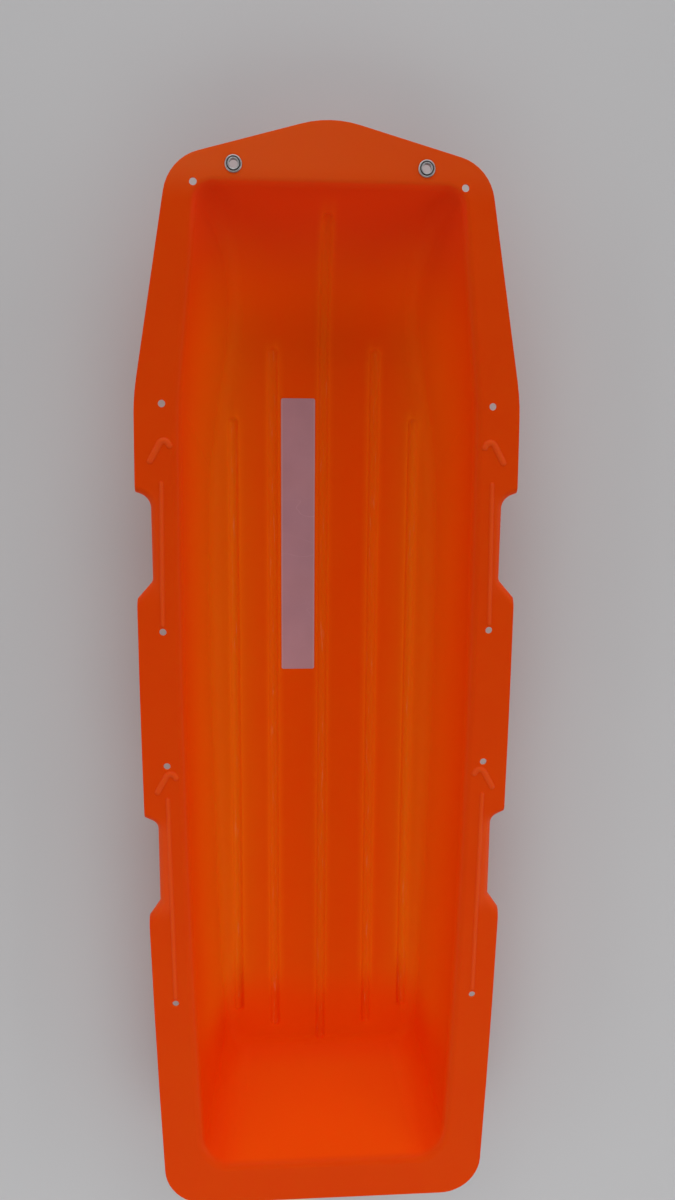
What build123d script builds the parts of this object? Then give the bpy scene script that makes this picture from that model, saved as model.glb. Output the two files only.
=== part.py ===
from build123d import *
import math
import os
from collections import namedtuple

# Expedition sled: one formed sheet of polyethylene, an open tub with a wide rim
# flange, five runners pressed into its floor, four handholds cut into its sides
# and two metal grommets in its nose for the tow line.
# Millimetres. +Y is the nose, +Z is up, +X is the right side seen from the tail.
# The origin is on the ground, in the middle of the length and width.

# Overall size
LENGTH = 1524.0
WIDTH = 508.0
HEIGHT = 152.0
WALL = 3.0

# Outline of the rim flange. Distances along the sled are from the nose tip, and
# insets are from the sides' widest place.
NOSE_SLOPE = 15.0
NOSE_APEX_RADIUS = 140.0
NOSE_CORNER_INSET = 53.0
NOSE_CORNER_RADIUS = 60.0
SHOULDER_FROM_NOSE = 336.0
SHOULDER_RADIUS = 300.0
WIDEST_FROM_NOSE = 675.0
SIDE_BOW_RADIUS = 19150.0
TAIL_CORNER_RADIUS = 60.0

# Tub: its mouth at the rim, its floor, and the ramp that rises to the nose. A run
# is how far a wall leans between its foot and the mouth.
SIDE_FLANGE = 58.0
NOSE_FLANGE = 76.0
TAIL_FLANGE = 58.0
MOUTH_NOSE_INSET = 83.0
SIDE_RUN = 32.5
NOSE_SIDE_RUN = 44.0
FLOOR_NOSE_FROM_NOSE = 219.0
FLOOR_SHOULDER_FROM_NOSE = 442.0
FLOOR_BOW_RADIUS = 14250.0
RAMP_RUN = 195.0
TAIL_RUN = 107.0
RIM_BEND_RADIUS = 12.0
FOOT_RADIUS = 24.0
TAIL_INSIDE_RADIUS = 46.0

# Runners: pressed down from the floor, open round grooves inside the tub, one in
# the centre, which climbs the ramp, and two on each side. The outer ones lie a set
# distance in from the foot of the sides. Ends are from the nose tip and the tail.
RUNNER_DEPTH = 5.0
RUNNER_WIDTH = 14.0
RUNNER_BRINK_RADIUS = 4.0
INNER_RUNNER_OFFSET = 73.5
OUTER_RUNNER_INSET = 32.5
OUTER_RUNNER_OFFSET = WIDTH / 2 - SIDE_FLANGE - SIDE_RUN - OUTER_RUNNER_INSET
Runner = namedtuple("Runner", "offset head_from_nose tail_from_tail")
RUNNERS = (
    Runner(0.0, 98.0, 168.0),
    Runner(INNER_RUNNER_OFFSET, 262.0, 195.0),
    Runner(OUTER_RUNNER_OFFSET, 360.0, 223.0),
)

# Handholds cut into both sides: the edge's start and length, the depth into the
# flange, the slope of the nose end and the run of the slanted tail end
Handhold = namedtuple("Handhold", "from_nose length depth lead_in run_out corner_radius")
HANDHOLDS = (
    Handhold(458.0, 141.0, 20.0, 7.0, 23.0, 20.0),
    Handhold(910.0, 149.0, 16.5, 8.0, 24.0, 14.0),
)
RUN_OUT_RADIUS = 10.0
LIP_DEPTH = 12.0
LIP_BEND_RADIUS = 10.0

# Round holes in the flange for lashing, in pairs from the nose to the tail
HOLE_DIAMETER = 9.5
Pair = namedtuple("Pair", "from_nose inset")
LASHING_HOLES = (
    Pair(75.0, 83.5),
    Pair(344.5, 38.5),
    Pair(644.5, 33.0),
    Pair(833.0, 34.0),
    Pair(1192.0, 38.0),
)

# Beads pressed up beside each handhold: a small arch over the nose end of a long
# straight bead, which runs to the lashing hole with that index
Bead = namedtuple("Bead", "arch_from_nose arch_inset from_nose inset to_hole")
BEADS = (
    Bead(382.5, 41.0, 446.0, 36.0, 2),
    Bead(835.0, 39.5, 881.0, 34.0, 4),
)
ARCH_OUTWARD = 19.0
ARCH_OUTWARD_RUN = 35.0
ARCH_INWARD = 6.5
ARCH_INWARD_RUN = 15.0
ARCH_RADIUS = 7.0
ARCH_BEAD_RADIUS = 6.0
ARCH_RISE = 2.0
BEAD_RADIUS = 4.5
BEAD_RISE = 1.4
BEAD_TO_HOLE = 5.0

# Tow grommets: an eyelet pressed up through the flange and clenched on a washer
# with a raised rim
GROMMETS = Pair(53.5, 133.5)
GROMMET_DIAMETER = 21.5
GROMMET_BORE = 11.0
BARREL_WALL = 1.2
BARREL_CLEARANCE = 0.2
CROWN_HEIGHT = 2.2
WASHER_THICKNESS = 0.8
WASHER_RIM_WIDTH = 2.6
WASHER_RIM_HEIGHT = 1.7
CLENCH_HEIGHT = 1.6
CLENCH_DIAMETER = 15.6

# Blank label stuck to the floor between the centre runner and the one on its left
LABEL_FROM_NOSE = 332.0
LABEL_LENGTH = 401.0
LABEL_WIDTH = 49.0
LABEL_THICKNESS = 0.3
LABEL_CORNER_RADIUS = 3.0

# Places worked out from the sizes
NOSE_Y = LENGTH / 2
TAIL_Y = -LENGTH / 2
FLOOR_TOP = RUNNER_DEPTH + WALL
TUB_DEPTH = HEIGHT - FLOOR_TOP
FLOOR_HALF_WIDTH = WIDTH / 2 - SIDE_FLANGE - SIDE_RUN
RAMP_START = NOSE_Y - NOSE_FLANGE - RAMP_RUN
RAMP_RADIUS = (RAMP_RUN**2 + TUB_DEPTH**2) / (2 * TUB_DEPTH)
GROOVE_RADIUS = (RUNNER_WIDTH**2 / 4 + RUNNER_DEPTH**2) / (2 * RUNNER_DEPTH)
CUT_ROOM = 60.0
SHORT = 0.01


def along(from_nose):
    """Y of a place that is given by its distance from the nose tip."""
    return NOSE_Y - from_nose


def bowed(widest, radius, y):
    """Half width at y of a side that bows inwards from its widest place."""
    away = y - along(WIDEST_FROM_NOSE)
    return widest - radius + math.sqrt(radius**2 - away**2)


def rim_half_width(y):
    return bowed(WIDTH / 2, SIDE_BOW_RADIUS, y)


def mirrored(shape):
    return shape.mirror(Plane.YZ)


def both_sides(shape):
    return [shape, mirrored(shape)]


def symmetric_face(front, shoulder, widest, tail, z):
    """Face at height z from the right half's points: the side from the shoulder to
    the tail is one arc, and the left half is its mirror image."""
    points = [Vector(*p, z) for p in (*front, shoulder)]
    right = [Line(a, b) for a, b in zip(points, points[1:])]
    right.append(ThreePointArc(Vector(*shoulder, z), Vector(*widest, z), Vector(*tail, z)))
    closing = [Line(Vector(*tail, z), Vector(-tail[0], tail[1], z))]
    if points[0].X > SHORT:
        closing.append(Line(points[0], Vector(-points[0].X, points[0].Y, z)))
    return make_face(Wire(right + closing + [mirrored(edge) for edge in right]))


def corners_at(face, x, y):
    """The face's vertices at (x, y) and at its mirror image."""
    return [v for v in face.vertices() if abs(abs(v.X) - x) < SHORT and abs(v.Y - y) < SHORT]


def rim_outline():
    """Plan of the flange: pointed nose, tapered shoulders, bowed sides, square tail."""
    slope = math.radians(NOSE_SLOPE)
    peak = (0, NOSE_Y + NOSE_APEX_RADIUS * (1 / math.cos(slope) - 1))
    corner_x = WIDTH / 2 - NOSE_CORNER_INSET
    corner = (corner_x, peak[1] - corner_x * math.tan(slope))
    shoulder_y = along(SHOULDER_FROM_NOSE)
    shoulder = (rim_half_width(shoulder_y), shoulder_y)
    widest = (WIDTH / 2, along(WIDEST_FROM_NOSE))
    tail = (rim_half_width(TAIL_Y), TAIL_Y)
    face = symmetric_face([peak, corner], shoulder, widest, tail, 0)
    face = fillet(corners_at(face, *tail), TAIL_CORNER_RADIUS)
    face = fillet(corners_at(face, *shoulder), SHOULDER_RADIUS)
    face = fillet(corners_at(face, *corner), NOSE_CORNER_RADIUS)
    return fillet(corners_at(face, *peak), NOSE_APEX_RADIUS)


def wall_plan(z, grow):
    """Plan of the tub's walls at height z, moved outwards by grow."""
    share = (z - FLOOR_TOP) / TUB_DEPTH

    def at_height(floor_value, mouth_value):
        return floor_value + (mouth_value - floor_value) * share

    def side(floor_y, mouth_y):
        floor_half = bowed(FLOOR_HALF_WIDTH, FLOOR_BOW_RADIUS, floor_y)
        mouth_half = rim_half_width(mouth_y) - SIDE_FLANGE
        return at_height(floor_half, mouth_half), at_height(floor_y, mouth_y)

    shoulder = side(along(FLOOR_SHOULDER_FROM_NOSE), along(SHOULDER_FROM_NOSE))
    middle = side(along(WIDEST_FROM_NOSE), along(WIDEST_FROM_NOSE))
    tail = side(TAIL_Y, TAIL_Y)
    mouth_half = WIDTH / 2 - MOUTH_NOSE_INSET
    nose_half = at_height(mouth_half - NOSE_SIDE_RUN, mouth_half)
    nose_y = at_height(along(FLOOR_NOSE_FROM_NOSE), along(NOSE_FLANGE))
    taper = (shoulder[0] - nose_half) / (nose_y - shoulder[1])
    front = (nose_half - taper * (NOSE_Y - nose_y), NOSE_Y)
    face = symmetric_face([front], shoulder, middle, tail, z)
    return offset(face, amount=grow, kind=Kind.INTERSECTION) if grow else face


def profile_prism(grow):
    """Side view of the tub, a sloped tail, level floor and curved ramp, across the width."""
    mouth = Vector(NOSE_Y - NOSE_FLANGE, HEIGHT)
    foot = Vector(RAMP_START, FLOOR_TOP)
    centre = Vector(RAMP_START, FLOOR_TOP + RAMP_RADIUS)
    spoke = mouth - centre
    halfway = centre + (spoke + foot - centre).normalized() * RAMP_RADIUS
    above = mouth + Vector(-spoke.Y, spoke.X) * (CUT_ROOM / spoke.X)
    tail_mouth = Vector(TAIL_Y + TAIL_FLANGE, HEIGHT)
    tail_foot = tail_mouth + Vector(TAIL_RUN, -TUB_DEPTH)
    tail_above = tail_mouth + Vector(-TAIL_RUN, TUB_DEPTH) * (CUT_ROOM / TUB_DEPTH)
    lines = [Line(above, tail_above), Line(tail_above, tail_foot), Line(tail_foot, foot)]
    lines += [ThreePointArc(foot, halfway, mouth), Line(mouth, above)]
    face = make_face(Wire(lines))
    if grow:
        face = offset(face, amount=grow, kind=Kind.INTERSECTION)
    return extrude(Plane.YZ * face, WIDTH, both=True)


def flat_edges(shape, z):
    """Edges that lie in the level plane at height z."""
    return [edge for edge in shape.edges() if abs(edge.bounding_box().max.Z - z) < SHORT
            and edge.bounding_box().size.Z < SHORT]


def tall_edges(shape):
    return [edge for edge in shape.edges() if edge.bounding_box().size.Z > FOOT_RADIUS]


def tub(grow):
    """The tub's inner space, or with grow the same space one wall thicker."""
    side_grow = grow / math.cos(math.atan2(SIDE_RUN, TUB_DEPTH))
    walls = loft([wall_plan(-grow, side_grow), wall_plan(HEIGHT + CUT_ROOM, side_grow)], ruled=True)
    body = walls & profile_prism(grow)
    tail_foot_y = TAIL_Y + TAIL_FLANGE + TAIL_RUN
    tail_corners = [edge for edge in tall_edges(body) if edge.center().Y < tail_foot_y]
    body = fillet(tail_corners, TAIL_INSIDE_RADIUS + grow)
    ramp_sides = [edge for edge in tall_edges(body) if edge.center().Y > RAMP_START]
    return fillet(flat_edges(body, FLOOR_TOP - grow) + ramp_sides, FOOT_RADIUS + grow)


def groove(runner, grow):
    """Round bar that forms one runner's groove, or with grow its outside one wall lower."""
    lift = GROOVE_RADIUS - RUNNER_DEPTH
    radius = RAMP_RADIUS - lift
    head = along(runner.head_from_nose) - RUNNER_WIDTH / 2
    tail = TAIL_Y + runner.tail_from_tail + RUNNER_WIDTH / 2

    def at(angle):
        rise = radius * (1 - math.cos(angle))
        return Vector(runner.offset, RAMP_START + radius * math.sin(angle), FLOOR_TOP + lift + rise)

    end = Vector(runner.offset, tail, FLOOR_TOP + lift)
    if head <= RAMP_START:
        path = Line(end, Vector(runner.offset, head, FLOOR_TOP + lift))
    else:
        climb = math.asin((head - RAMP_START) / radius)
        path = Wire([Line(end, at(0)), ThreePointArc(at(0), at(climb / 2), at(climb))])
    return capped_sweep(path, GROOVE_RADIUS + grow)


def grooved_space():
    """The tub's inner space with its grooves. The side ones are made on the right and
    mirrored, and the centre one follows."""
    right = Pos(WIDTH / 2, 0, 0) * Box(WIDTH, 2 * LENGTH, 2 * LENGTH)
    centre, *beside = RUNNERS
    space = tub(0)
    half = space & right
    for runner in beside:
        half = with_groove(half, space, runner)
    return with_groove(half + mirrored(half), space, centre)


def with_groove(body, space, runner):
    """The body with a runner's groove and round brinks, where it leaves the plain space."""
    bar = groove(runner, 0)
    grooved = body + bar
    brinks = []
    for edge in grooved.edges():
        middle = edge @ 0.5
        if space.distance_to(middle) < SHORT and bar.distance_to(middle) < SHORT:
            brinks.append(edge)
    return fillet(brinks, RUNNER_BRINK_RADIUS)


def handhold_plan(handhold):
    """Plan of a right-hand handhold, run out past the flange's edge."""
    start = along(handhold.from_nose)
    end = start - handhold.length
    edge = rim_half_width((start + end) / 2)
    inner = edge - handhold.depth
    outer = edge + handhold.depth
    lead = handhold.lead_in / handhold.depth
    run = handhold.run_out / handhold.depth
    top = (inner, start - handhold.lead_in)
    bottom = (inner, end + handhold.run_out)
    outer_top = (outer, start + lead * (outer - edge))
    outer_bottom = (outer, end - run * (outer - edge))
    face = make_face(Polyline(outer_top, top, bottom, outer_bottom, close=True))
    face = fillet([v for v in face.vertices() if abs(v.Y - top[1]) < SHORT], handhold.corner_radius)
    return fillet([v for v in face.vertices() if abs(v.Y - bottom[1]) < SHORT], RUN_OUT_RADIUS)


def lip(handhold, outline):
    """The edge of a handhold turned down, with the sheet's own thickness."""
    plan = handhold_plan(handhold)
    ring = (offset(plan, amount=WALL) - plan) & outline
    return Pos(0, 0, HEIGHT - LIP_DEPTH) * extrude(ring, LIP_DEPTH)


def capped_sweep(path, radius):
    """Round bar along a path, with ball ends. Their poles lie sideways and their seams
    inside the bar."""
    start = Plane(path @ 0, z_dir=path % 0)
    bar = sweep(start * Circle(radius), path=path)
    for place, inward in ((0, path % 0), (1, path % 1 * -1)):
        sideways = inward.cross(Vector(0, 0, 1))
        bar += Plane(path @ place, x_dir=inward, z_dir=sideways) * Sphere(radius)
    return bar


def bead_shapes(bead, level):
    """A right-hand bead and the arch over its nose end, as they rise above a level."""
    arch_z = level + ARCH_RISE - ARCH_BEAD_RADIUS
    apex = (WIDTH / 2 - bead.arch_inset, along(bead.arch_from_nose), arch_z)
    outward = (apex[0] + ARCH_OUTWARD, apex[1] - ARCH_OUTWARD_RUN, arch_z)
    inward = (apex[0] - ARCH_INWARD, apex[1] - ARCH_INWARD_RUN, arch_z)
    arch = capped_sweep(FilletPolyline(outward, apex, inward, radius=ARCH_RADIUS), ARCH_BEAD_RADIUS)
    hole = LASHING_HOLES[bead.to_hole]
    bead_z = level + BEAD_RISE - BEAD_RADIUS
    head = (WIDTH / 2 - bead.inset, along(bead.from_nose), bead_z)
    hole_side = along(hole.from_nose) + HOLE_DIAMETER / 2 + BEAD_TO_HOLE
    straight = capped_sweep(Line(head, (WIDTH / 2 - hole.inset, hole_side, bead_z)), BEAD_RADIUS)
    room = Pos(0, 0, level - WALL / 2 + CUT_ROOM / 2) * Box(WIDTH, LENGTH, CUT_ROOM)
    return [arch & room, straight & room]


def shell():
    """The formed sheet: tub, runners, flange, handholds, beads and holes."""
    outline = rim_outline()
    outer = tub(WALL)
    inner = grooved_space()
    centre, *beside = RUNNERS
    outer += groove(centre, WALL)
    for runner in beside:
        for bar in both_sides(groove(runner, WALL)):
            outer += bar

    outer &= Pos(0, 0, HEIGHT / 2) * Box(WIDTH, LENGTH, HEIGHT)
    outer += Pos(0, 0, HEIGHT - WALL) * extrude(outline, WALL)
    outer = fillet(mouth_edges(outer, HEIGHT - WALL), RIM_BEND_RADIUS - WALL)
    sheet = outer - inner
    sheet = fillet(mouth_edges(sheet, HEIGHT), RIM_BEND_RADIUS)

    for handhold in HANDHOLDS:
        for part in both_sides(lip(handhold, outline)):
            sheet += part
        under = handhold_edges(sheet, handhold, HEIGHT - WALL, WALL)
        sheet = fillet(under, LIP_BEND_RADIUS - WALL)
        for part in both_sides(extrude(handhold_plan(handhold), HEIGHT + CUT_ROOM)):
            sheet -= part
        sheet = fillet(handhold_edges(sheet, handhold, HEIGHT, 0), LIP_BEND_RADIUS)

    for bead in BEADS:
        for shape in bead_shapes(bead, HEIGHT):
            for part in both_sides(shape):
                sheet += part
        for shape in bead_shapes(bead, HEIGHT - WALL):
            for part in both_sides(shape):
                sheet -= part

    for pair in LASHING_HOLES:
        sheet -= drills(pair, HOLE_DIAMETER)
    return sheet - drills(GROMMETS, barrel_diameter() + 2 * BARREL_CLEARANCE)


def mouth_edges(body, z):
    """Edges of the tub's mouth in the flange's plane at height z."""
    level = [face for face in body.faces().filter_by(Plane.XY) if abs(face.center().Z - z) < SHORT]
    return ShapeList(edge for face in level for wire in face.inner_wires() for edge in wire.edges())


def handhold_edges(sheet, handhold, z, grow):
    """Edges at height z along the handholds on both sides, grow farther in than the cuts."""
    start = along(handhold.from_nose)
    found = []
    for edge in flat_edges(sheet, z):
        middle = edge.center()
        inwards = rim_half_width(middle.Y) - abs(middle.X)
        near_side = SHORT < inwards < handhold.depth + grow + SHORT
        near_place = start - handhold.length - grow < middle.Y < start + grow
        if near_side and near_place and edge.length < handhold.length:
            found.append(edge)
    return found


def drills(pair, diameter):
    """Drills through the flange at a pair of places."""
    drill = Pos(WIDTH / 2 - pair.inset, along(pair.from_nose), HEIGHT) * Cylinder(diameter / 2, CUT_ROOM)
    return both_sides(drill)


def barrel_diameter():
    return GROMMET_BORE + 2 * BARREL_WALL


def eyelet():
    """Pressed ring under the flange, with a barrel through it that is rolled over on top."""
    bore = GROMMET_BORE / 2
    barrel = barrel_diameter() / 2
    rim = GROMMET_DIAMETER / 2
    roll = CLENCH_DIAMETER / 2
    crest = (bore + rim) / 2
    bottom = -WALL - CROWN_HEIGHT / 2
    crown = ThreePointArc((bore, bottom), (crest, -WALL - CROWN_HEIGHT), (rim, -WALL))
    seat = WASHER_THICKNESS
    rolled = ThreePointArc((roll, seat), ((roll + bore) / 2, seat + CLENCH_HEIGHT), (bore, seat))
    sides = Polyline((rim, -WALL), (barrel, -WALL), (barrel, seat), (roll, seat))
    face = make_face(Wire([crown, *sides.edges(), rolled, Line((bore, seat), (bore, bottom))]))
    return revolve(Plane.XZ * face, Axis.Z)


def washer():
    """Flat ring on the flange with a raised round rim."""
    hole = barrel_diameter() / 2 + BARREL_CLEARANCE
    rim = GROMMET_DIAMETER / 2
    dip = rim - WASHER_RIM_WIDTH
    raised = ThreePointArc((rim, 0), ((rim + dip) / 2, WASHER_RIM_HEIGHT), (dip, WASHER_THICKNESS))
    sides = Polyline((dip, WASHER_THICKNESS), (hole, WASHER_THICKNESS), (hole, 0), (rim, 0))
    return revolve(Plane.XZ * make_face(Wire([raised, *sides.edges()])), Axis.Z)


def label():
    middle = along(LABEL_FROM_NOSE + LABEL_LENGTH / 2)
    plan = RectangleRounded(LABEL_WIDTH, LABEL_LENGTH, LABEL_CORNER_RADIUS)
    return Pos(-INNER_RUNNER_OFFSET / 2, middle, FLOOR_TOP) * extrude(plan, LABEL_THICKNESS)


def build():
    """Every piece of the sled, by the name of its node."""
    pieces = {"shell": shell(), "label": label()}
    for side, name in ((-1, "left"), (1, "right")):
        place = Pos(side * (WIDTH / 2 - GROMMETS.inset), along(GROMMETS.from_nose), HEIGHT)
        pieces[f"grommet_{name}"] = place * eyelet()
        pieces[f"grommet_washer_{name}"] = place * washer()
    return pieces


if __name__ == "__main__":
    os.makedirs("parts", exist_ok=True)
    for name, piece in build().items():
        export_step(piece, f"parts/{name}.step")
        print(name, round(piece.volume), "mm3")
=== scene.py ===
import math
from collections import namedtuple

import bmesh
import bpy
from mathutils import Matrix, Vector


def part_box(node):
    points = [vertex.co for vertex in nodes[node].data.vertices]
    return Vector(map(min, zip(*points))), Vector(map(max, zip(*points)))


# Looks of the expedition sled. Lengths are in metres, +Y points to its nose, +X to its right and +Z up
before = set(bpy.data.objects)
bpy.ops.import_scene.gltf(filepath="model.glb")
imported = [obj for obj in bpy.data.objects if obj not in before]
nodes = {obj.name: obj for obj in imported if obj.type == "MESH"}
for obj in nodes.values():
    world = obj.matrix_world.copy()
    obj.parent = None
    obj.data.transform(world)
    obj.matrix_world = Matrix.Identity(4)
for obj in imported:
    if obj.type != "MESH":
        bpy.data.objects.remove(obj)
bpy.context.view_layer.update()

# Camera: place, turn in degrees, and a step back along its own axis from where the photograph was taken
CAMERA_PLACE = (-0.071, 0.385, 1.388)
CAMERA_TURN_DEG = (-10.29, -3.82, -0.22)
CAMERA_BACK = 0.020
CAMERA_LENS = 28.5
CAMERA_SENSOR = 36.0

# Light and floor
Softbox = namedtuple("Softbox", "name place aim size watts glossy")
SLED_MIDDLE = (0, 0, 0.1)
LONG_BOX = (12, 4)
SHORT_BOX = (2.4, 1.4)
SOFTBOXES = [
    Softbox("nose_low", (0, 8, 3), SLED_MIDDLE, LONG_BOX, 270, True),
    Softbox("nose_high", (0, 6, 6), SLED_MIDDLE, LONG_BOX, 130, True),
    Softbox("left", (-8, 0, 3.5), SLED_MIDDLE, LONG_BOX, 138, True),
    Softbox("right", (8, 0, 3.5), SLED_MIDDLE, LONG_BOX, 198, True),
    Softbox("tail", (0, -1.4, 1.8), (0, -0.5, 0.1), SHORT_BOX, 13, False),
]
SKY_STRENGTH = 0.29
FLOOR_REACH = 12
FLOOR_TONES = ((0.56, 0.56, 0.57), (0.60, 0.60, 0.61))
FLOOR_ROUGHNESS = 0.8

# A step is a mask that rises from 0 to 1 round a level, and a band is one that peaks at a middle
Step = namedtuple("Step", "level blend")
Band = namedtuple("Band", "middle reach")

# The beads' height on the flange, and heights over the ground where the sheet's finish changes
BEAD_HEIGHT = 0.002
FLANGE_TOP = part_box("shell")[1][2] - BEAD_HEIGHT
OFF_THE_GROUND = Step(0.004, 0.008)
WALL_FADE = Step(0.105, 0.19)
RIM_BEND = Step(FLANGE_TOP - 0.006, 0.010)
RIM_TOP = Step(FLANGE_TOP - 0.001, 0.002)
CREST_RISE = Step(FLANGE_TOP + 0.0009, 0.0012)

# Places along the sled, from the tail to the nose, and the handholds' middles and half length
TAIL_WALL = Step(-0.610, 0.03)
TAIL_BEND = Step(-0.515, 0.10)
TAIL_FLOOR = Step(-0.490, 0.08)
FLANGE_LENGTH = Step(0.0, 1.2)
RAMP_CORNER_START = Step(0.560, 0.14)
RAMP_FOOT_BAND = Band(0.585, 0.08)
RAMP_HEAD_START = Step(0.610, 0.10)
RIM_AHEAD = Step(0.620, 0.08)
NOSE_FADE = Step(0.650, 0.06)
NOSE_HOLES = Step(0.687, 0.05)
HANDHOLD_MIDDLES = (0.2335, -0.2225)
HANDHOLD_END = Step(0.066, 0.030)

# Distances from the sled's middle line
FLOOR_EDGE = Step(0.11, 0.09)
WALL_FOOT = Step(0.135, 0.05)
RAMP_EDGE = Step(0.14, 0.04)
TAIL_EDGE = Step(0.15, 0.05)
HANDHOLD_SIDE = Step(0.2195, 0.006)

# Runners: distance from the middle line, both ends, and shares of painted light along the groove's middle
# and flanks, lifting the shade of the groove walls
Runner = namedtuple("Runner", "offset head foot middle inner outer")
RUNNERS = [
    Runner(0.0, 0.664, -0.594, 0.16, 0.0, 0.12),
    Runner(0.0735, 0.500, -0.567, 0.15, 0.16, 0.12),
    Runner(0.131, 0.402, -0.539, 0.03, 0.38, 0.0),
]
RUNNER_HEAD_BLEND = 0.04
RUNNER_FOOT_BLEND = 0.06
RUNNER_FOOT_FADE = 0.075
GROOVE_SHIFT = 0.001
GROOVE_REACH = 0.018
GROOVE_MIDDLE_REACH = 0.008
GROOVE_SHARE = 0.40
FLANK_OFFSET = 0.0055
FLANK_REACH = 0.006

# Shares of the thin sheet's tone, a painted glow of light shining through where forming thinned it, with
# painted light on its left side and on the tail wall; of its fade towards the nose; and of the nose tip's
# tone, a painted sheen
THIN_GLOW_BASE = 0.20
THIN_GLOW_SIDES = 0.39
LEFT_LIGHT_SHARE = 0.45
THIN_GLOW_CLOUDS = 0.12
TAIL_WALL_LIGHT_SHARE = 0.26
NOSE_FADE_SHARE = 0.7
NOSE_TIP_SHARE = 0.5

# Tones of the sheet, in linear red, green and blue
THICK_ORANGE = (0.81, 0.046, 0.0)
# Painted glow: the thin sheet lighter and yellower, as if light shone through it
THIN_GLOW_ORANGE = (0.82, 0.165, 0.003)
# Painted light and glow in the runners' grooves
GROOVE_LIGHT_ORANGE = (0.93, 0.200, 0.004)
# Painted light on the runners' flanks, against the shade of the groove walls
FLANK_LIGHT_ORANGE = (1.0, 0.220, 0.004)
# Painted light: the flange darker at the nose and lighter towards the tail
FLANGE_NOSE = (0.685, 0.050, 0.001)
FLANGE_TAIL = (0.72, 0.053, 0.002)
# Painted sheen: the nose tip paler and whiter
NOSE_TIP_SHEEN = (0.73, 0.112, 0.018)
# Painted highlight on the strip beside the handholds
HANDHOLD_LIGHT = (0.82, 0.105, 0.022)

# Tints laid over a tone: the largest share and the shade
Tint = namedtuple("Tint", "share shade")
# Painted bounce light at the foot of the ramp
RAMP_FOOT_LIGHT = Tint(0.5, (0.98, 0.092, 0.001))
# Painted sheen at the head of the ramp
RAMP_HEAD_SHEEN = Tint(0.5, (0.82, 0.052, 0.009))
# Painted shade in the ramp's corners
RAMP_CORNER_SHADE = Tint(0.35, (0.66, 0.032, 0.004))
# Painted shade: the floor's tail end deeper red, where less light shines through the sheet
TAIL_SHADE = Tint(0.38, (0.92, 0.060, 0.0))
FLANGE_CLOUD = Tint(0.2, (0.74, 0.075, 0.002))
# Painted highlight on the beads' crests
CREST_HIGHLIGHT = Tint(0.45, (0.78, 0.105, 0.020))
# Painted highlights beside the handholds
HANDHOLD_HIGHLIGHTS = [Tint(share, HANDHOLD_LIGHT) for share in (0.12, 0.35)]
TRIMMED_EDGE = Tint(0.5, (0.86, 0.20, 0.040))
SLIDING_SCUFFS = Tint(0.5, (0.85, 0.26, 0.11))

# The noise's mean, steps and a band of the noise, and a step of how far a face is turned up
NOISE_MEAN = 0.5
SOFT_CLOUD = Step(0.5, 0.5)
FIRM_CLOUD = Step(0.5, 0.3)
SCUFF_CLOUD = Step(0.62, 0.12)
FOLDED_PATCH = Step(0.52, 0.1)
FOLD_BAND = Band(0.5, 0.008)
LEVEL_FACE = Step(0.35, 0.3)

# Roughness of the finishes, what their clouds and wear add to it, and the coat on the rim
SHEET_ROUGH = 0.36
SHEET_CLOUD_ROUGH = 0.12
SCUFF_ROUGH = 0.05
SLIDING_ROUGH = 0.2
TRIMMED_ROUGH = 0.15
RIM_COAT = 0.03
FILM_ROUGH = 0.28
CREASE_ROUGH = 0.15
METAL_ROUGH = 0.24
METAL_CLOUD_ROUGH = 0.16
RECESS_ROUGH = 0.3

# Label: its middle line, its width, its film's tones and its tints
LABEL_LOW, LABEL_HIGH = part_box("label")
LABEL_MIDDLE = (LABEL_LOW[0] + LABEL_HIGH[0]) / 2
LABEL_WIDTH = LABEL_HIGH[0] - LABEL_LOW[0]
LABEL_EDGE = Step(LABEL_WIDTH / 2 - 0.0022, 0.0012)
FILM_TONES = ((0.43, 0.220, 0.250), (0.48, 0.250, 0.285))
FILM_PATCH = Tint(0.40, (0.32, 0.175, 0.230))
FILM_FOLD = Tint(0.22, (0.66, 0.42, 0.44))
FILM_EDGE = Tint(0.30, (0.64, 0.36, 0.35))

# Grommets: their middles, the bore, the recess round the rolled end, and their tones and tints, with painted
# shade in the recess and down the bore
GROMMET_LOW, GROMMET_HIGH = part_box("grommet_right")
GROMMET_X = (GROMMET_LOW[0] + GROMMET_HIGH[0]) / 2
GROMMET_Y = (GROMMET_LOW[1] + GROMMET_HIGH[1]) / 2
BARREL_WALL = Step(0.0058, 0.0003)
BARREL_TOP = Step(FLANGE_TOP, 0.002)
RECESS_BAND = Band(0.0080, 0.0014)
RECESS_FLOOR = Step(FLANGE_TOP, 0.0004)
METAL_TONES = ((0.42, 0.41, 0.42), (0.60, 0.59, 0.60))
# Painted shade in the recess round the rolled end, and down the bore
RECESS_SHADE = Tint(0.95, (0.025, 0.022, 0.022))
BARREL_SHADE = Tint(0.7, (0.05, 0.05, 0.055))


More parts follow.
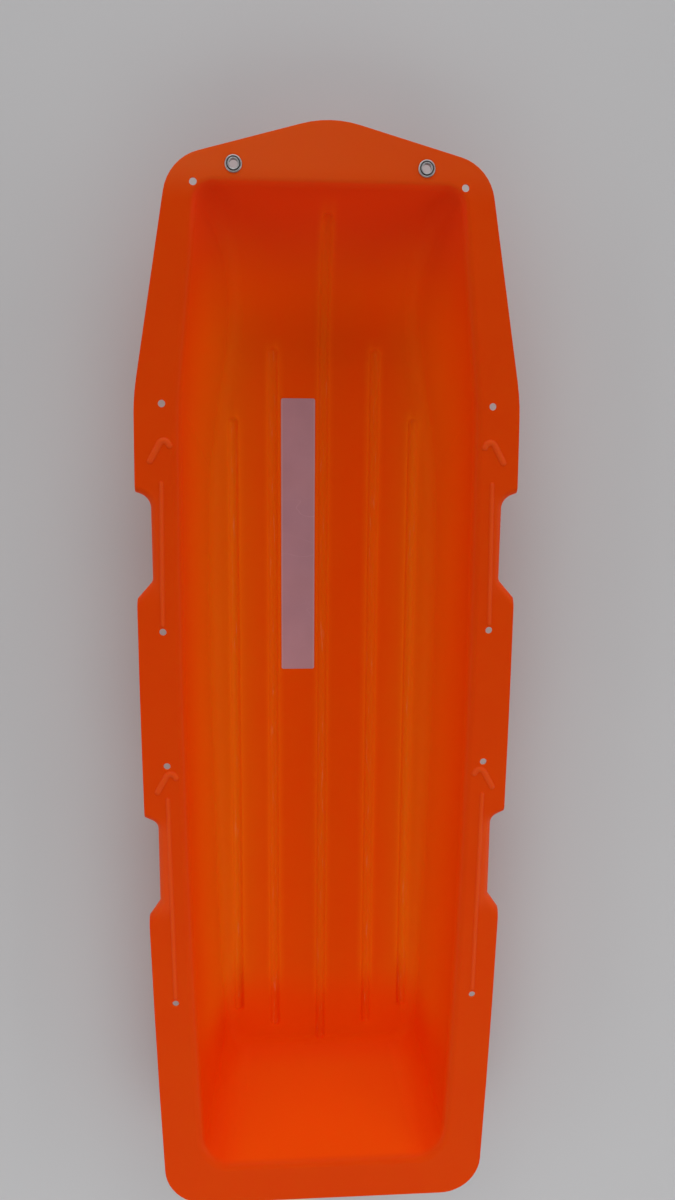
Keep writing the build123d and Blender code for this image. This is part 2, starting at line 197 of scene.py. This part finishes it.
class Value:
    """A shader node's output. Arithmetic on it adds Math nodes to its material."""

    def __init__(self, finish, output):
        self.finish = finish
        self.output = output

    def maths(self, operation, first, second=None):
        sockets = {0: first} if second is None else {0: first, 1: second}
        return self.finish.node("ShaderNodeMath", {"operation": operation}, sockets)

    def __add__(self, other):
        return self.maths("ADD", self, other)

    def __radd__(self, other):
        return self.maths("ADD", other, self)

    def __sub__(self, other):
        return self.maths("SUBTRACT", self, other)

    def __rsub__(self, other):
        return self.maths("SUBTRACT", other, self)

    def __mul__(self, other):
        return self.maths("MULTIPLY", self, other)

    def __rmul__(self, other):
        return self.maths("MULTIPLY", other, self)

    def __pow__(self, other):
        return self.maths("POWER", self, other)

    def __rpow__(self, other):
        return self.maths("POWER", other, self)

    def __abs__(self):
        return self.maths("ABSOLUTE", self)

    def above(self, level, blend):
        """0 below the level and 1 above it, with a smooth step as wide as blend."""
        sockets = {0: self, 1: level - blend / 2, 2: level + blend / 2}
        settings = {"interpolation_type": "SMOOTHSTEP"}
        return self.finish.node("ShaderNodeMapRange", settings, sockets)

    def near(self, middle, reach):
        """1 where the value is the middle one, down to 0 at reach from it."""
        return 1 - abs(self - middle).above(reach / 2, reach)


class Finish:
    """A material with one Principled shader, built up from nodes."""

    def __init__(self, name, **constants):
        self.material = bpy.data.materials.new(name)
        self.material.use_nodes = True
        self.tree = self.material.node_tree
        self.shader = self.tree.nodes["Principled BSDF"]
        for socket, value in constants.items():
            self.shader.inputs[socket.replace("_", " ")].default_value = value
        self.place = self.node("ShaderNodeTexCoord", output="Object")
        self.x, self.y, self.z = self.split(self.place)

    def node(self, kind, settings=None, sockets=None, output=0):
        """Adds a node, sets it up, feeds its sockets and gives one of its outputs."""
        made = self.tree.nodes.new(kind)
        for name, value in (settings or {}).items():
            setattr(made, name, value)
        for name, value in (sockets or {}).items():
            self.feed(made.inputs[name], value)
        return Value(self, made.outputs[output])

    def feed(self, socket, value):
        """Links a value to a socket, or sets the socket to a constant."""
        if isinstance(value, Value):
            self.tree.links.new(value.output, socket)
        else:
            socket.default_value = value

    def split(self, vector):
        """The X, Y and Z of a vector."""
        return [self.node("ShaderNodeSeparateXYZ", sockets={0: vector}, output=i) for i in range(3)]

    def facing_up(self):
        """How far the surface faces up, from -1 to 1."""
        return self.split(self.node("ShaderNodeTexCoord", output="Normal"))[2]

    def noise(self, scale, detail=2.0, roughness=0.5, stretch=(1, 1, 1)):
        """Noise from about 0 to 1, with its grain stretched along the axes."""
        place = self.node("ShaderNodeMapping", sockets={"Vector": self.place, "Scale": stretch})
        sockets = {"Vector": place, "Scale": scale, "Detail": detail, "Roughness": roughness}
        return self.node("ShaderNodeTexNoise", sockets=sockets)

    def mix(self, share, first, second):
        """A colour between two. Sockets 6 and 7 of the Mix node are colours, and so is its output 2."""
        tones = [tone if isinstance(tone, Value) else (*tone, 1) for tone in (first, second)]
        sockets = {0: share, 6: tones[0], 7: tones[1]}
        return self.node("ShaderNodeMix", {"data_type": "RGBA"}, sockets, output=2)

    def tinted(self, tone, mask, tint):
        """A colour with a tint over it where the mask is 1."""
        return self.mix(mask * tint.share, tone, tint.shade)

    def bump(self, height, distance, strength=1.0, normal=None):
        """A bumped direction of the surface, laid over an earlier one where that is given."""
        sockets = {"Height": height, "Distance": distance, "Strength": strength}
        if normal is not None:
            sockets["Normal"] = normal
        return self.node("ShaderNodeBump", sockets=sockets)

    def set(self, **sockets):
        """Feeds the shader's sockets and gives the material."""
        for name, value in sockets.items():
            self.feed(self.shader.inputs[name.replace("_", " ")], value)
        return self.material


def wear(node, material):
    """Gives a CAD node its finish."""
    slots = nodes[node].data.materials
    slots.clear()
    slots.append(material)


def tub_tone(sheet, side, mottle):
    """Tone of the tub: yellower with a painted glow of light shining through where forming thinned the
    sheet, at the foot of the sides, with painted light on its left and on the tail wall; redder on the ramp
    and round the bend to the tail wall, with painted bounce light at the ramp's foot, a painted sheen at its
    head and painted shade in its corners."""
    streaks = sheet.noise(scale=11, detail=3.0, stretch=(1, 0.10, 1))
    clouds = (mottle + streaks - 2 * NOISE_MEAN) * THIN_GLOW_CLOUDS
    # Painted glow of light through the thin sheet, and painted light on its left side
    thin_glow = THIN_GLOW_BASE + side.above(*FLOOR_EDGE) * THIN_GLOW_SIDES - sheet.x * LEFT_LIGHT_SHARE + clouds
    thin_glow = thin_glow * (1 - sheet.z.above(*WALL_FADE)) * sheet.y.above(*TAIL_BEND)
    thin_glow = thin_glow * (1 - sheet.y.above(*NOSE_FADE) * NOSE_FADE_SHARE)
    # Painted light on the tail wall, which faces the light
    tail_wall_light = (1 - sheet.y.above(*TAIL_WALL)) * (1 - side.above(*WALL_FOOT))
    tone = sheet.mix(thin_glow + tail_wall_light * TAIL_WALL_LIGHT_SHARE, THICK_ORANGE, THIN_GLOW_ORANGE)

    # Painted bounce light at the ramp's foot
    ramp_foot = sheet.y.near(*RAMP_FOOT_BAND) * (1 - side.above(*RAMP_EDGE))
    tone = sheet.tinted(tone, ramp_foot, RAMP_FOOT_LIGHT)
    # Painted sheen on the ramp's head
    tone = sheet.tinted(tone, sheet.y.above(*RAMP_HEAD_START), RAMP_HEAD_SHEEN)
    # Painted shade where the ramp meets the sides
    ramp_corner = sheet.y.above(*RAMP_CORNER_START) * side.above(*WALL_FOOT)
    return sheet.tinted(tone, ramp_corner, RAMP_CORNER_SHADE)


def runner_tone(sheet, side, tone):
    """Paints light into the runners' grooves and onto their flanks, with a painted glow of light through the
    thinner sheet, then paints shade at the end of the floor.
    """
    for runner in RUNNERS:
        start = sheet.y.above(runner.foot + RUNNER_FOOT_FADE, RUNNER_FOOT_BLEND)
        length = start * (1 - sheet.y.above(runner.head, RUNNER_HEAD_BLEND))
        # Painted light and glow along each groove and on its flanks, against the shade of its walls
        whole = side.near(runner.offset - GROOVE_SHIFT, GROOVE_REACH) * GROOVE_SHARE
        middle = side.near(runner.offset + GROOVE_SHIFT, GROOVE_MIDDLE_REACH) * runner.middle
        tone = sheet.mix((whole - middle) * length, tone, GROOVE_LIGHT_ORANGE)
        inner = side.near(runner.offset - FLANK_OFFSET, FLANK_REACH) * runner.inner
        outer = side.near(runner.offset + FLANK_OFFSET, FLANK_REACH) * runner.outer
        tone = sheet.mix((inner + outer) * length, tone, FLANK_LIGHT_ORANGE)
    # Painted shade at the end of the floor
    tail = (1 - sheet.y.above(*TAIL_FLOOR)) * (1 - side.above(*TAIL_EDGE))
    return sheet.tinted(tone, tail, TAIL_SHADE)


def flange_tone(sheet, side, mottle, tone, rim, trimmed):
    """Adds the flange, with painted light that leaves it darker at the nose and lighter towards the tail, a
    painted sheen that makes its nose tip paler, most of all on its left, painted highlights on the beads'
    crests and beside the handholds, and a paler trimmed edge."""
    # Painted light: darker at the nose, lighter towards the tail
    flange = sheet.mix(1 - sheet.y.above(*FLANGE_LENGTH), FLANGE_NOSE, FLANGE_TAIL)
    # Painted sheen on the nose tip, stronger on its left
    flange = sheet.mix(sheet.y.above(*NOSE_HOLES) * (NOSE_TIP_SHARE - sheet.x), flange, NOSE_TIP_SHEEN)
    flange = sheet.tinted(flange, mottle.above(*SOFT_CLOUD), FLANGE_CLOUD)
    tone = sheet.mix(rim, tone, flange)
    # Painted highlight along the beads' crests
    tone = sheet.tinted(tone, sheet.z.above(*CREST_RISE), CREST_HIGHLIGHT)
    # Painted highlights on the strips beside the handholds
    for middle, tint in zip(HANDHOLD_MIDDLES, HANDHOLD_HIGHLIGHTS):
        beside = 1 - abs(sheet.y - middle).above(*HANDHOLD_END)
        tone = sheet.tinted(tone, beside * side.above(*HANDHOLD_SIDE), tint)
    return sheet.tinted(tone, trimmed, TRIMMED_EDGE)


def orange_sheet():
    """Formed polyethylene: deep orange, semi-gloss and a little see-through, scuffed where it slides."""
    sheet = Finish(
        "orange_sheet",
        Subsurface_Weight=0.35,
        Subsurface_Radius=(1.0, 0.3, 0.03),
        Subsurface_Scale=0.004,
        IOR=1.5,
        Specular_IOR_Level=0.10,
        Specular_Tint=(1.0, 0.40, 0.12, 1),
        Coat_Roughness=0.3,
    )
    side = abs(sheet.x)
    mottle = sheet.noise(scale=14, detail=3.0, roughness=0.6)
    ahead = sheet.y.above(*RIM_AHEAD)
    rim = sheet.z.above(*RIM_BEND) * (1 - ahead) + sheet.z.above(*RIM_TOP) * ahead
    trimmed = (1 - abs(sheet.facing_up()).above(*LEVEL_FACE)) * rim
    scratches = sheet.noise(scale=55, detail=6.0, roughness=0.7, stretch=(5, 0.35, 5))
    scuffs = scratches.above(*SCUFF_CLOUD)
    below = 1 - sheet.z.above(*OFF_THE_GROUND)

    tone = tub_tone(sheet, side, mottle)
    tone = runner_tone(sheet, side, tone)
    tone = flange_tone(sheet, side, mottle, tone, rim, trimmed)
    tone = sheet.tinted(tone, scuffs * below, SLIDING_SCUFFS)
    wear_rough = scuffs * (SCUFF_ROUGH + below * SLIDING_ROUGH) + trimmed * TRIMMED_ROUGH
    rough = SHEET_ROUGH + mottle * SHEET_CLOUD_ROUGH + wear_rough

    ripple = sheet.noise(scale=7, detail=1.0, stretch=(1, 0.5, 1))
    grain = sheet.noise(scale=900, detail=2.0)
    normal = sheet.bump(ripple, distance=0.004, strength=0.25)
    normal = sheet.bump(grain, distance=0.0001, strength=0.25, normal=normal)
    return sheet.set(Base_Color=tone, Roughness=rough, Coat_Weight=rim * RIM_COAT, Normal=normal)


def label_film():
    """Blank film label: pale, thin enough for a little orange to warm it, with a few fine folds, cloudy
    patches and paler edges."""
    film = Finish("label_film", IOR=1.45)
    cloud = film.noise(scale=14, detail=3.0)
    patch = film.noise(scale=7, detail=1.0, stretch=(0.4, 1, 1))
    crease = film.noise(scale=20, detail=2.0, roughness=0.5, stretch=(0.4, 1.3, 1))
    tone = film.mix(cloud.above(*SOFT_CLOUD), *FILM_TONES)
    tone = film.tinted(tone, patch.above(*FIRM_CLOUD), FILM_PATCH)
    tone = film.tinted(tone, crease.near(*FOLD_BAND) * patch.above(*FOLDED_PATCH), FILM_FOLD)
    tone = film.tinted(tone, abs(film.x - LABEL_MIDDLE).above(*LABEL_EDGE), FILM_EDGE)
    normal = film.bump(crease, distance=0.0008, strength=0.35)
    return film.set(Base_Color=tone, Roughness=FILM_ROUGH + crease * CREASE_ROUGH, Normal=normal)


def grommet_metal():
    """Pressed and plated metal, bright on its rings, with painted shade in the recess between them and down
    the bore.
    """
    metal = Finish("grommet_metal", Metallic=1.0)
    across = abs(metal.x) - GROMMET_X
    lengthways = metal.y - GROMMET_Y
    radius = (across * across + lengthways * lengthways) ** 0.5
    recess = radius.near(*RECESS_BAND) * metal.z.above(*RECESS_FLOOR)
    barrel = (1 - radius.above(*BARREL_WALL)) * (1 - metal.z.above(*BARREL_TOP))
    cloud = metal.noise(scale=160, detail=4.0)
    grain = metal.noise(scale=1800, detail=2.0)
    tone = metal.mix(cloud.above(*FIRM_CLOUD), *METAL_TONES)
    # Painted shade in the recess and down the bore
    tone = metal.tinted(tone, recess, RECESS_SHADE)
    tone = metal.tinted(tone, barrel, BARREL_SHADE)
    rough = METAL_ROUGH + cloud * METAL_CLOUD_ROUGH + recess * RECESS_ROUGH
    normal = metal.bump(grain, distance=0.00005, strength=0.4)
    return metal.set(Base_Color=tone, Roughness=rough, Normal=normal)


def studio_floor():
    """A plain pale floor, wide enough to fill the camera's view."""
    mesh = bpy.data.meshes.new("studio_floor")
    shape = bmesh.new()
    bmesh.ops.create_grid(shape, x_segments=1, y_segments=1, size=FLOOR_REACH)
    shape.to_mesh(mesh)
    shape.free()
    floor = bpy.data.objects.new("studio_floor", mesh)
    bpy.context.scene.collection.objects.link(floor)
    plain = Finish("floor_paint", Roughness=FLOOR_ROUGHNESS)
    tone = plain.mix(plain.noise(scale=1.5, detail=2.0), *FLOOR_TONES)
    mesh.materials.append(plain.set(Base_Color=tone))


def hang(box):
    """Hangs a softbox at its place, facing its aim."""
    lamp = bpy.data.lights.new(box.name, "AREA")
    lamp.shape = "RECTANGLE"
    lamp.size, lamp.size_y = box.size
    lamp.energy = box.watts
    light = bpy.data.objects.new(box.name, lamp)
    light.location = box.place
    light.rotation_mode = "QUATERNION"
    light.rotation_quaternion = (Vector(box.aim) - Vector(box.place)).to_track_quat("-Z", "Y")
    light.visible_glossy = box.glossy
    bpy.context.scene.collection.objects.link(light)


def studio_light():
    """Broad soft light from all round, strongest from beyond the nose and then from the right."""
    for box in SOFTBOXES:
        hang(box)
    world = bpy.data.worlds.new("studio")
    world.use_nodes = True
    sky = world.node_tree.nodes["Background"]
    sky.inputs["Color"].default_value = (1.0, 1.0, 1.0, 1)
    sky.inputs["Strength"].default_value = SKY_STRENGTH
    bpy.context.scene.world = world


def photo_camera():
    """The camera at the photograph's viewing angle, a step farther back along its axis."""
    camera = bpy.data.objects.new("camera", bpy.data.cameras.new("camera"))
    turn = Matrix.Identity(4)
    for degrees, axis in zip(CAMERA_TURN_DEG, "XYZ"):
        turn = turn @ Matrix.Rotation(math.radians(degrees), 4, axis)
    place = Vector(CAMERA_PLACE) + turn.to_3x3() @ Vector((0, 0, CAMERA_BACK))
    camera.matrix_world = Matrix.Translation(place) @ turn
    camera.data.lens = CAMERA_LENS
    camera.data.sensor_width = CAMERA_SENSOR
    bpy.context.scene.collection.objects.link(camera)
    bpy.context.scene.camera = camera


wear("shell", orange_sheet())
wear("label", label_film())
metal = grommet_metal()
for name in nodes:
    if name.startswith("grommet"):
        wear(name, metal)
studio_floor()
studio_light()
photo_camera()
bpy.context.scene.view_settings.view_transform = "Standard"
